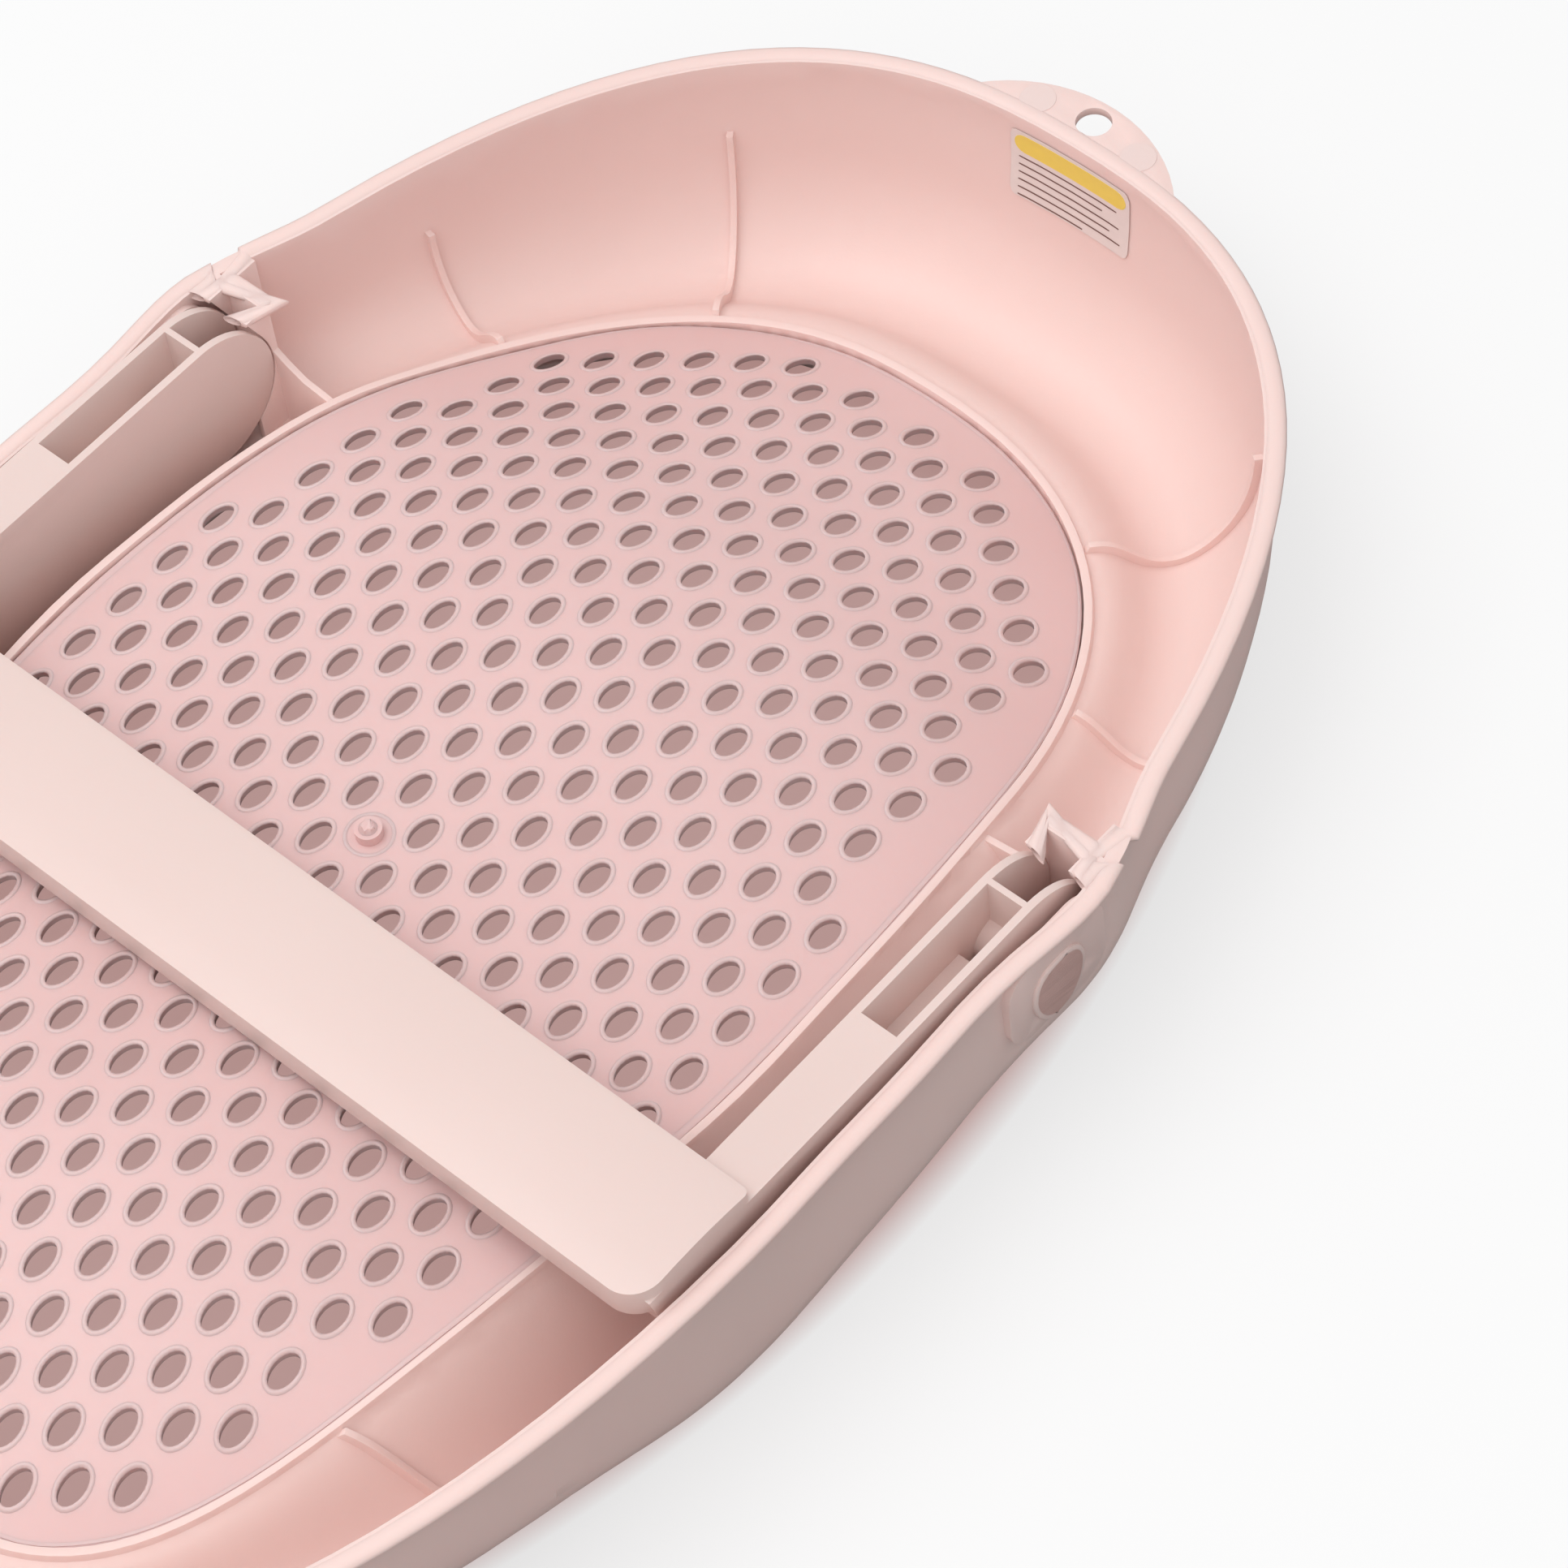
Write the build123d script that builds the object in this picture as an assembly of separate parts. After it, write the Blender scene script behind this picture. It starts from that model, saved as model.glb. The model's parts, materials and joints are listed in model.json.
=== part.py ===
from build123d import *
from math import cos, sin, pi, radians, copysign, hypot
import os

# Baby bath seat, stored the way it lies when it is put away: face down, with the
# folding stand swung flat into the back of the shell.  Millimetres, +X towards the
# head end, +Y across the seat, +Z up, the floor at Z = 0 when everything is made.

os.makedirs("parts", exist_ok=True)

# ---- shell ------------------------------------------------------------------
HALF_WIDTH = 156.0        # centre plane to the rim, amidships
HEAD_LENGTH = 279.0       # seat centre to the head end of the rim
FOOT_LENGTH = 258.0       # seat centre to the foot end of the rim
RIM_ROUNDNESS = 2.5       # superellipse power of the rim's plan
RIM_LEAD = 8.5            # degrees by which a section's rim end leads its inner end
SHOULDER = 5.5            # how far the rim swells out beside the pivots
SHOULDER_AHEAD = 17.0     # pivot to the middle of that swelling
SHOULDER_REACH = 42.0     # length of that swelling, each way
RIM_HEIGHT = 67.0         # floor to the free edge of the skirt
WALL = 2.6                # moulded wall of the shell
LIP = 4.2                 # thickened free edge of the skirt
LIP_DEPTH = 12.0          # height over which the skirt thickens to the lip
STATIONS = 41             # sections of the shell, from head to foot
STATION_OVERRUN = 8.0     # degrees that the sections run past the centre plane

# ---- opening for the soft panel --------------------------------------------
VALLEY_SIDE = 39.0        # opening to the rim, at the sides
VALLEY_HEAD = 66.0        # the same at the head end
VALLEY_FOOT = 61.0        # the same at the foot end
RING_HEAD_ROUNDNESS = 2.7
RING_FOOT_ROUNDNESS = 4.0
RING_TAPER = 0.10         # how much the opening narrows for each mm towards the foot
BEAD = 2.2                # width of the bead round the panel
BEAD_RISE = 1.6           # bead above the panel
LEDGE = 6.0               # width of the ledge that the panel's edge is bonded to
LEDGE_WALL = 2.2

# ---- soft panel -------------------------------------------------------------
PANEL_THICKNESS = 2.4
CROWN_DROP = 5.5          # rim to the top of the dome, on the centre line
PANEL_CROSS_DROP = 9.0    # fall of the dome from the centre line to the bead, amidships
PANEL_END_FALL = 0.135    # further fall for each mm towards the ends
PANEL_SADDLE = 40.0       # half length of the flatter middle
PANEL_GAP = 0.6           # round the panel's edge
PANEL_MARGIN = 6.0        # sheet that is left for trimming all round
HOLE_LENGTH = 10.4
HOLE_WIDTH = 6.4
HOLE_PITCH_ALONG = 17.1   # between two holes of one row, along the seat
HOLE_PITCH_ACROSS = 21.0  # between two rows of the same phase
HOLE_MARGIN = 10.0        # bead to the middle of the nearest hole
GATE_RADIUS = 3.6         # moulding gate, a nub on the centre of the panel
GATE_HEIGHT = 3.0

# ---- folding stand ----------------------------------------------------------
PIVOT_X = 78.0
PIVOT_DROP = 19.0         # rim to the pivot line
ARM_RADIUS = 22.5         # rounded end of an arm, round its pin
ARM_INSET = 8.0           # rim to the outside of an arm, at the pivot
ARM_WIDTH = 15.5
ARM_WALL = 2.2
ARM_ROOM = 4.5            # an arm's lower edge to the valley's highest floor
ARM_FILL_X = 31.0         # the arm's channel is filled in from here to the bar
ARM_STEP_X = 66.0         # the channel is deep from here to the pivot
CHANNEL_DEPTH = 17.0
CHANNEL_DEEP = 30.0
CHANNEL_FLOOR = 5.0
HEEL_SLANT = 4.0          # slope of the arm's blunt end, under the bar
HEEL_DEPTH = 16.0
TAPER_START = 10.0        # the arm tapers from here, ahead of the bar
TAPER_RISE = 2.0
BAR_HEAD_X = -24.0        # the bar's edge nearest the head
BAR_WIDTH = 40.0
BAR_PROUD = 3.5           # bar above the arms
BAR_CROWN = 1.6
BAR_DEPTH = 9.0
BAR_CORNER = 9.0          # plan radius of the corners away from the pivots
BAR_CORNER_NEAR = 2.0     # the same for the corners over the arms
STAND_WALL = 2.4
PIN_RADIUS = 5.2
PIN_CLEARANCE = 0.1
PIN_RECESS = 0.6          # face of the pad to the end of the pin
PIN_ROOT = 2.0            # length of the pin inside the arm
BOSS_WALL = 1.5
OPEN_ANGLE = 65.0         # the stand stands upright under the reclined seat
CRADLE_GAP = 0.6          # arm to the cradles that hold its end and stop its swing
CRADLE_REACH = 9.0        # cradle plates ahead of their cross wall
FIN_REACH = 11.0          # brace behind the cross wall

# ---- pivot pads, ribs and the hanging tab -----------------------------------
PAD_WIDTH = 36.0
PAD_DEPTH = 30.0
PAD_CORNER = 9.0
PAD_THICKNESS = 5.0
PAD_DROP = 2.0            # rim to the top of the pad
PAD_INSET = 0.2           # rim to the face of the pad
RIB = 1.8
RIB_RISE = 2.6
RIB_ANGLES = (26, 51, 113)    # degrees round the shell, from the head end
WEB_DROP = 16.0           # rim to the top of the web, at the cradle
WEB_SHOULDER = 4.0        # cradle to the web's bend
WEB_STEP = 4.0            # fall of the web's top to that bend
TAB_REACH = 13.0
TAB_RADIUS = 46.0
TAB_THICKNESS = 2.6
HANG_HOLE_RADIUS = 5.0
HANG_HOLE_INSET = 7.0     # tip of the tab to the middle of the hole

# ---- label ------------------------------------------------------------------
LABEL_WIDTH = 41.0
LABEL_HEIGHT = 25.0
LABEL_DROP = 6.0          # rim to the label's top edge
LABEL_THICKNESS = 0.3
LABEL_GAP = 0.3
LABEL_SWEEP = 9.0         # degrees each side of the centre plane that its sections cover


def through(points, x):
    """Height at x of a smooth curve through a few (x, height) points."""
    if x <= points[0][0]:
        return points[0][1]
    if x >= points[-1][0]:
        return points[-1][1]
    i = 0
    while points[i + 1][0] < x:
        i += 1
    (x0, y0), (x1, y1) = points[i], points[i + 1]
    before = points[max(i - 1, 0)]
    after = points[min(i + 2, len(points) - 1)]
    slope0 = (y1 - before[1]) / (x1 - before[0]) * (x1 - x0)
    slope1 = (after[1] - y0) / (after[0] - x0) * (x1 - x0)
    u = (x - x0) / (x1 - x0)
    return (
        y0 * (2 * u**3 - 3 * u**2 + 1)
        + slope0 * (u**3 - 2 * u**2 + u)
        + y1 * (3 * u**2 - 2 * u**3)
        + slope1 * (u**3 - u**2)
    )


def power(value, exponent):
    """A signed power, for superellipses."""
    return copysign(abs(value) ** exponent, value)


def rim_side(x):
    """Distance from the centre plane to the rim at one place along the seat."""
    length = HEAD_LENGTH if x > 0 else FOOT_LENGTH
    plain = HALF_WIDTH * power(1 - (abs(x) / length) ** RIM_ROUNDNESS, 1 / RIM_ROUNDNESS)
    away = min(abs(x - PIVOT_X - SHOULDER_AHEAD) / SHOULDER_REACH, 1.0)
    return plain + SHOULDER * cos(away * pi / 2) ** 2


def rim_point(angle):
    """Plan of the rim's outer edge, 0 at the head end and pi at the foot end."""
    length = HEAD_LENGTH if cos(angle) > 0 else FOOT_LENGTH
    x = length * power(cos(angle), 2 / RIM_ROUNDNESS)
    return x, copysign(rim_side(x), sin(angle))


# ---- places that follow from the sizes above --------------------------------
RING_HALF_WIDTH = HALF_WIDTH - VALLEY_SIDE
RING_HEAD = HEAD_LENGTH - VALLEY_HEAD
RING_FOOT = FOOT_LENGTH - VALLEY_FOOT
PANEL_CROWN = RIM_HEIGHT - CROWN_DROP
PIVOT_Z = RIM_HEIGHT - PIVOT_DROP
VALLEY_CREST = PIVOT_Z - ARM_RADIUS - ARM_ROOM
PAD_FACE = rim_side(PIVOT_X) - PAD_INSET
ARM_OUTER = rim_side(PIVOT_X) - ARM_INSET
ARM_INNER = ARM_OUTER - ARM_WIDTH
ARM_TOP = PIVOT_Z + ARM_RADIUS
BAR_TOP = ARM_TOP + BAR_PROUD
CROSS_X = PIVOT_X + ARM_RADIUS + CRADLE_GAP


def ring_point(angle, inset=0.0):
    """Plan of the opening for the panel, inside the bead."""
    at_head = cos(angle) > 0
    length = (RING_HEAD if at_head else RING_FOOT) - inset
    exponent = 2 / (RING_HEAD_ROUNDNESS if at_head else RING_FOOT_ROUNDNESS)
    x = length * power(cos(angle), exponent)
    half = RING_HALF_WIDTH - inset + min(x, 0.0) * RING_TAPER
    return x, half * power(sin(angle), exponent)


def panel_height(x, y):
    """Top of the panel's dome, a little lower amidships than at its two crowns."""
    centre = through(
        [
            (-1.05 * RING_FOOT, PANEL_CROWN - 20.0),
            (-0.75 * RING_FOOT, PANEL_CROWN - 5.5),
            (-0.53 * RING_FOOT, PANEL_CROWN),
            (-0.28 * RING_FOOT, PANEL_CROWN - 1.2),
            (0.0, PANEL_CROWN - 2.8),
            (0.30 * RING_HEAD, PANEL_CROWN),
            (0.48 * RING_HEAD, PANEL_CROWN - 2.2),
            (0.64 * RING_HEAD, PANEL_CROWN - 12.0),
            (0.82 * RING_HEAD, PANEL_CROWN - 24.5),
            (1.05 * RING_HEAD, PANEL_CROWN - 43.0),
        ],
        x,
    )
    fall = PANEL_CROSS_DROP + PANEL_END_FALL * (hypot(x, PANEL_SADDLE) - PANEL_SADDLE)
    return centre - fall * (y / RING_HALF_WIDTH) ** 2


def valley_floor(x):
    """Inside height of the valley: highest under the arms, on the floor at two places."""
    share = through(
        [
            (-1.0 * FOOT_LENGTH, 0.89),
            (-0.42 * FOOT_LENGTH, 0.73),
            (-0.20 * FOOT_LENGTH, 0.0),
            (0.0, 0.40),
            (0.18 * HEAD_LENGTH, 0.73),
            (0.33 * HEAD_LENGTH, 1.0),
            (0.48 * HEAD_LENGTH, 0.84),
            (0.72 * HEAD_LENGTH, 0.24),
            (0.88 * HEAD_LENGTH, 0.0),
            (1.0 * HEAD_LENGTH, 0.0),
        ],
        x,
    )
    return WALL + share * (VALLEY_CREST - WALL)


def squareness(x):
    """1 along the sides, where the valley is boxy for the arms, 0 at the ends."""
    return max(0.0, 1 - (x / (0.62 * HEAD_LENGTH)) ** 4)


def frame_of(angle):
    """The vertical section plane at one angle: its foot, its direction and its length."""
    rx, ry = ring_point(angle)
    ex, ey = rim_point(angle + radians(RIM_LEAD) * sin(2 * angle))
    reach = hypot(ex - rx, ey - ry)
    return (rx, ry), ((ex - rx) / reach, (ey - ry) / reach), reach


def skin(angle):
    """Inside line of the shell, from the bead to the rim, as (distance, height)."""
    (rx, ry), (dx, dy), reach = frame_of(angle)
    ring_z = panel_height(rx, ry)
    floor = valley_floor(rx + dx * reach * 0.6)
    drop = ring_z - floor
    rise = RIM_HEIGHT - floor
    square = squareness(rx)
    return [
        (BEAD + 0.6, ring_z - 0.4),
        (0.20 * reach, ring_z - 0.30 * drop),
        (0.36 * reach, ring_z - (0.86 - 0.14 * square) * drop),
        (0.50 * reach, floor),
        (0.72 * reach, floor + (0.10 - 0.09 * square) * rise),
        (0.88 * reach, floor + (0.34 - 0.22 * square) * rise),
        (0.925 * reach, floor + (0.58 - 0.18 * square) * rise),
        (reach - 0.85 * LIP, RIM_HEIGHT - LIP_DEPTH),
        (reach - LIP, RIM_HEIGHT),
    ]


def outside(line):
    """The outside line of the shell: the inside line moved out by the wall."""
    moved = []
    for i, (s, z) in enumerate(line):
        before = line[max(i - 1, 0)]
        after = line[min(i + 1, len(line) - 1)]
        ds, dz = after[0] - before[0], after[1] - before[1]
        size = hypot(ds, dz)
        moved.append((s + dz / size * WALL, z - ds / size * WALL))
    return moved


def in_plane(angle, pairs):
    """Turns (distance, height) pairs in one section plane into points."""
    (rx, ry), (dx, dy), _ = frame_of(angle)
    return [Vector(rx + dx * s, ry + dy * s, z) for s, z in pairs]


def shell_section(angle):
    """Closed section of the shell: ledge, bead, valley, skirt and lip."""
    (rx, ry), _, reach = frame_of(angle)
    top = panel_height(rx, ry)
    seat = top - PANEL_THICKNESS
    inner = skin(angle)
    outer = outside(inner)
    outer[-1] = (reach, RIM_HEIGHT)
    outer[0] = (BEAD, seat - LEDGE_WALL)
    start = in_plane(
        angle,
        [
            (-LEDGE, seat - LEDGE_WALL),
            (-LEDGE, seat),
            (0.0, seat),
            (0.0, top + BEAD_RISE),
            (BEAD, top + BEAD_RISE),
            inner[0],
        ],
    )
    inner_points = in_plane(angle, inner)
    outer_points = in_plane(angle, outer)
    edges = Polyline(*start).edges()
    edges += [Spline(*inner_points).edge()]
    edges += [Line(inner_points[-1], outer_points[-1]).edge()]
    edges += [Spline(*reversed(outer_points)).edge()]
    edges += [Line(outer_points[0], start[0]).edge()]
    return Face(Wire(edges))


def rim_face(inset):
    """Plan of the head half of the rim, moved inwards, as a face at Z = 0."""
    points = []
    for i in range(1, 7):
        x, y = rim_point(pi * i / 12)
        points.append((x - inset * cos(pi * i / 12), y - inset * sin(pi * i / 12)))
    half = Spline((HEAD_LENGTH - inset, 0), *points, tangents=[(0, 1), (-1, 0)])
    back = Line(points[-1], (points[-1][0], -points[-1][1]))
    return make_face([half.edge(), back.edge(), half.mirror(Plane.XZ).edge()])


def ring_face(inset):
    """Plan of the opening for the panel, moved inwards, as a face at Z = 0."""
    points = [ring_point(pi * i / 18, inset) for i in range(1, 18)]
    head = (RING_HEAD - inset, 0)
    foot = (-RING_FOOT + inset, 0)
    half = Spline(head, *points, foot, tangents=[(0, 1), (0, -1)])
    return make_face([half.edge(), half.mirror(Plane.XZ).edge()])


def both_sides(piece):
    """A piece on the +Y side and its mirror image on the other side."""
    return [piece, piece.mirror(Plane.XZ)]


def rib(angle):
    """A thin rib that follows the inside of the shell from the bead nearly to the rim."""
    line = skin(angle)[:-2]
    low = outside(line)
    crest = []
    root = []
    for (s, z), (so, zo) in zip(line, low):
        lift = RIB_RISE / WALL
        crest.append((s + (s - so) * lift, z + (z - zo) * lift))
        root.append(((s + so) / 2, (z + zo) / 2))
    crest_points = in_plane(angle, crest)
    root_points = in_plane(angle, root)
    edges = [Spline(*crest_points).edge()]
    edges += [Line(crest_points[-1], root_points[-1]).edge()]
    edges += [Spline(*reversed(root_points)).edge()]
    edges += [Line(root_points[0], crest_points[0]).edge()]
    return extrude(Face(Wire(edges)), amount=RIB / 2, both=True)


def wall_block(x0, x1, y0, y1, z0, z1):
    """A box between two corners."""
    box = Box(x1 - x0, y1 - y0, z1 - z0)
    return box.moved(Location(((x0 + x1) / 2, (y0 + y1) / 2, (z0 + z1) / 2)))


def swept_arm():
    """Room that an arm's rounded end needs, folded and fully open."""
    radius = ARM_RADIUS + CRADLE_GAP
    disc = Cylinder(radius, 60).rotate(Axis.X, 90)
    leg = Box(200, 60, 2 * radius).moved(Location((-100, 0, 0)))
    opened = leg.rotate(Axis.Y, OPEN_ANGLE)
    middle = ARM_OUTER - ARM_WIDTH / 2
    return (disc + leg + opened).moved(Location((PIVOT_X, middle, PIVOT_Z)))


def inside_skirt():
    """The space above the middle of the shell's wall beside one pivot."""
    sections = []
    for i in range(5):
        angle = radians(56 + 5.5 * i)
        line = skin(angle)
        middle = [((s + t) / 2, (z + w) / 2) for (s, z), (t, w) in zip(line, outside(line))]
        curve = Spline(*in_plane(angle, middle))
        s_in = middle[0][0]
        s_out = middle[-1][0]
        lid = in_plane(angle, [(s_out, RIM_HEIGHT + RIB), (s_in, RIM_HEIGHT + RIB)])
        ends = Polyline(curve @ 1, *lid, curve @ 0).edges()
        sections.append(Face(Wire([curve.edge(), *ends])))
    return loft(sections)


def bracket():
    """Plates that brace one pivot and stop the arm: a cross wall, two cradles and a fin."""
    base = WALL
    skirt = rim_side(CROSS_X) + WALL
    top = RIM_HEIGHT
    near_x = CROSS_X - CRADLE_REACH
    back = CROSS_X + RIB
    cross = wall_block(CROSS_X, back, ARM_INNER, skirt, base, top)
    near = wall_block(near_x, back, ARM_INNER, ARM_INNER + RIB, base, top)
    far = wall_block(near_x, back, ARM_OUTER - RIB, ARM_OUTER, base, top)
    fin = wall_block(CROSS_X, CROSS_X + FIN_REACH, ARM_OUTER - RIB, ARM_OUTER, base, top)
    return (cross + near + far + fin) - swept_arm()


def pivot_web():
    """Tall rib from the inner cradle down to the bead."""
    bead_y = RING_HALF_WIDTH * 0.97
    crest = panel_height(CROSS_X, bead_y)
    outline = Polyline(
        (ARM_INNER + RIB, WALL),
        (ARM_INNER + RIB, RIM_HEIGHT - WEB_DROP),
        (ARM_INNER - WEB_SHOULDER, RIM_HEIGHT - WEB_DROP - WEB_STEP),
        ((ARM_INNER + bead_y) / 2, crest + BEAD_RISE),
        (bead_y, crest),
        (bead_y, WALL),
        close=True,
    )
    face = make_face(Plane.YZ * outline)
    return extrude(face, amount=RIB).moved(Location((CROSS_X, 0, 0)))


def pivot_pad():
    """Flat boss on the outside of the skirt that the stand's pin turns in."""
    outline = RectangleRounded(PAD_WIDTH, PAD_DEPTH, PAD_CORNER)
    slab = extrude(Plane.XZ * outline, amount=PAD_THICKNESS)
    return slab.moved(Location((PIVOT_X, PAD_FACE, RIM_HEIGHT - PAD_DROP - PAD_DEPTH / 2)))


def pin_bore():
    """Cut for one pin, through the skirt and its pad."""
    bore = Cylinder(PIN_RADIUS + PIN_CLEARANCE, 4 * PAD_THICKNESS).rotate(Axis.X, 90)
    return bore.moved(Location((PIVOT_X, PAD_FACE - PAD_THICKNESS / 2, PIVOT_Z)))


def hanging_tab():
    """Ear at the head end, level with the rim, with a hole to hang the seat up by."""
    tip = HEAD_LENGTH + TAB_REACH
    disc = Cylinder(TAB_RADIUS, TAB_THICKNESS)
    level = RIM_HEIGHT - TAB_THICKNESS / 2
    ear = disc.moved(Location((tip - TAB_RADIUS, 0, level)))
    inside = extrude(rim_face(LIP / 2), amount=2 * RIM_HEIGHT)
    hole = Cylinder(HANG_HOLE_RADIUS, 3 * TAB_THICKNESS)
    return ear - inside, hole.moved(Location((tip - HANG_HOLE_INSET, 0, level)))


def seat_shell():
    """Hard shell: one moulding with its ribs, brackets, pivot pads and hanging tab."""
    first = -radians(STATION_OVERRUN)
    step = (pi - 2 * first) / (STATIONS - 1)
    half = loft([shell_section(first + step * i) for i in range(STATIONS)])
    far = 2 * (HEAD_LENGTH + FOOT_LENGTH)
    half = half & wall_block(-far, far, 0, far, -far, far)
    half = half + ((bracket() + pivot_web()) & inside_skirt()) + pivot_pad()
    for angle in RIB_ANGLES:
        half = half + rib(radians(angle))
    half = half - pin_bore()
    shell = half + half.mirror(Plane.XZ)
    ear, hole = hanging_tab()
    return shell + ear - hole


def panel_sheet():
    """The panel's domed sheet, before it is trimmed and perforated."""
    reach = RING_HALF_WIDTH + PANEL_MARGIN
    length = RING_FOOT + RING_HEAD + 2 * PANEL_MARGIN
    across = [reach * (k - 6) / 6 for k in range(13)]
    along = [length * i / 16 - RING_FOOT - PANEL_MARGIN for i in range(17)]
    skins = []
    for depth in (0.0, PANEL_THICKNESS):
        grid = [[Vector(x, y, panel_height(x, y) - depth) for y in across] for x in along]
        skins.append(Face.make_surface_from_array_of_points(grid, tol=0.05, min_deg=3, max_deg=3))
    top, low = skins
    sides = [Face.make_surface_from_curves(a, b) for a, b in zip(top.edges(), low.edges())]
    return Solid(Shell([top, low, *sides]))


def inside_ring(x, y, margin):
    """True where a point lies inside the bead by more than the margin."""
    head = x > 0
    length = (RING_HEAD if head else RING_FOOT) - margin
    roundness = RING_HEAD_ROUNDNESS if head else RING_FOOT_ROUNDNESS
    half = RING_HALF_WIDTH - margin + min(x, 0.0) * RING_TAPER
    return (abs(x) / length) ** roundness + (abs(y) / half) ** roundness < 1


def hole_places():
    """Middles of the drain holes, in staggered rows, clear of the gate."""
    rows = int(2 * max(RING_HEAD, RING_FOOT) / HOLE_PITCH_ALONG)
    files = int(2 * RING_HALF_WIDTH / HOLE_PITCH_ACROSS)
    places = []
    for i in range(-rows, rows + 1):
        for j in range(-files, files + 1):
            x = i * HOLE_PITCH_ALONG / 2
            y = j * HOLE_PITCH_ACROSS / 2
            staggered = (i + j) % 2 == 0
            if staggered and (i, j) != (0, 0) and inside_ring(x, y, HOLE_MARGIN):
                places.append((x, y))
    return places


def seat_panel():
    """Soft panel: a domed sheet full of oval drain holes, with its moulding gate."""
    trim = extrude(ring_face(PANEL_GAP), amount=2 * RIM_HEIGHT)
    sheet = panel_sheet() & trim
    oval = Ellipse(HOLE_LENGTH / 2, HOLE_WIDTH / 2)
    holes = [oval.moved(Location((x, y, 0))) for x, y in hole_places()]
    sheet = sheet - [extrude(hole, amount=2 * RIM_HEIGHT) for hole in holes]
    root = PANEL_THICKNESS / 2
    gate = Cylinder(GATE_RADIUS, GATE_HEIGHT + root)
    return sheet + gate.moved(Location((0, 0, panel_height(0, 0) + (GATE_HEIGHT - root) / 2)))


def arm_profile():
    """Side of one arm, round its pin at the head end and blunt at the bar."""
    heel_x = BAR_HEAD_X - BAR_WIDTH + HEEL_SLANT
    low = PIVOT_Z - ARM_RADIUS
    crown = (PIVOT_X, ARM_TOP)
    heel = (heel_x, ARM_TOP)
    heel_low = (heel_x + HEEL_SLANT, ARM_TOP - HEEL_DEPTH)
    taper = (BAR_HEAD_X + TAPER_START, low + TAPER_RISE)
    sole = (PIVOT_X, low)
    outline = [Line(a, b).edge() for a, b in ((crown, heel), (heel, heel_low))]
    outline += [Line(a, b).edge() for a, b in ((heel_low, taper), (taper, sole))]
    outline += [ThreePointArc(sole, (PIVOT_X + ARM_RADIUS, PIVOT_Z), crown).edge()]
    return make_face(Plane.XZ * Wire(outline))


def arm():
    """One arm with its channel, cross rib and pivot pin, on the +Y side."""
    body = extrude(arm_profile(), amount=-ARM_WIDTH).moved(Location((0, ARM_INNER, 0)))
    y0 = ARM_INNER + ARM_WALL
    y1 = ARM_OUTER - ARM_WALL
    above = ARM_TOP + ARM_WALL
    end_x = PIVOT_X + 2 * ARM_RADIUS
    floor = PIVOT_Z - ARM_RADIUS + CHANNEL_FLOOR
    body = body - wall_block(ARM_FILL_X, ARM_STEP_X, y0, y1, ARM_TOP - CHANNEL_DEPTH, above)
    body = body - wall_block(ARM_STEP_X, PIVOT_X, y0, y1, ARM_TOP - CHANNEL_DEEP, above)
    body = body - wall_block(PIVOT_X + RIB, end_x, y0, y1, floor, above)
    middle = (ARM_INNER + ARM_OUTER) / 2
    boss = Cylinder(PIN_RADIUS + BOSS_WALL, y1 - y0 + ARM_WALL).rotate(Axis.X, 90)
    body = body + boss.moved(Location((PIVOT_X, middle, PIVOT_Z)))
    first = ARM_OUTER - PIN_ROOT
    last = PAD_FACE - PIN_RECESS
    pin = Cylinder(PIN_RADIUS, last - first).rotate(Axis.X, 90)
    return body + pin.moved(Location((PIVOT_X, (first + last) / 2, PIVOT_Z)))


def crossbar():
    """The stand's foot bar: a crowned, hollow-backed beam between the arms."""
    middle = BAR_HEAD_X - BAR_WIDTH / 2
    side = BAR_WIDTH / 2
    low = BAR_TOP - BAR_DEPTH
    outline = [
        Line((middle + side, low), (middle + side, BAR_TOP)).edge(),
        ThreePointArc(
            (middle + side, BAR_TOP), (middle, BAR_TOP + BAR_CROWN), (middle - side, BAR_TOP)
        ).edge(),
        Line((middle - side, BAR_TOP), (middle - side, low)).edge(),
        Line((middle - side, low), (middle + side, low)).edge(),
    ]
    beam = extrude(make_face(Plane.XZ * Wire(outline)), amount=ARM_OUTER, both=True)
    corners = beam.edges().filter_by(Axis.Z).sort_by(Axis.X)
    beam = fillet(corners[2:], BAR_CORNER_NEAR)
    corners = beam.edges().filter_by(Axis.Z).sort_by(Axis.X)
    beam = fillet(corners[:2], BAR_CORNER)
    hollow = Box(BAR_WIDTH - 2 * STAND_WALL, 2 * (ARM_INNER - STAND_WALL), BAR_DEPTH)
    return beam - hollow.moved(Location((middle, 0, low + BAR_DEPTH / 2 - STAND_WALL)))


def folding_stand():
    """U-shaped stand: two arms, a crossbar and two pins in one moulding."""
    stand = crossbar()
    for piece in both_sides(arm()):
        stand = stand + piece
    return stand


def label():
    """Thin waterproof sticker on the inside of the skirt, under the tab."""
    top = RIM_HEIGHT - LABEL_DROP
    low = top - LABEL_HEIGHT
    sections = []
    for i in range(7):
        angle = radians(LABEL_SWEEP * (i - 3) / 3)
        skirt = [(z, s) for s, z in skin(angle)[3:]]
        upper = through(skirt, top) - LABEL_GAP
        lower = through(skirt, low) - LABEL_GAP
        front = [(upper - LABEL_THICKNESS, top), (lower - LABEL_THICKNESS, low)]
        corners = in_plane(angle, [(lower, low), (upper, top), *front])
        sections.append(Face(Wire(Polyline(*corners, close=True).edges())))
    side = LABEL_WIDTH / 2
    return loft(sections) & wall_block(0, 2 * HEAD_LENGTH, -side, side, 0, RIM_HEIGHT)


PIECES = {
    "seat_shell": seat_shell,
    "seat_panel": seat_panel,
    "folding_stand": folding_stand,
    "label": label,
}

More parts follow.
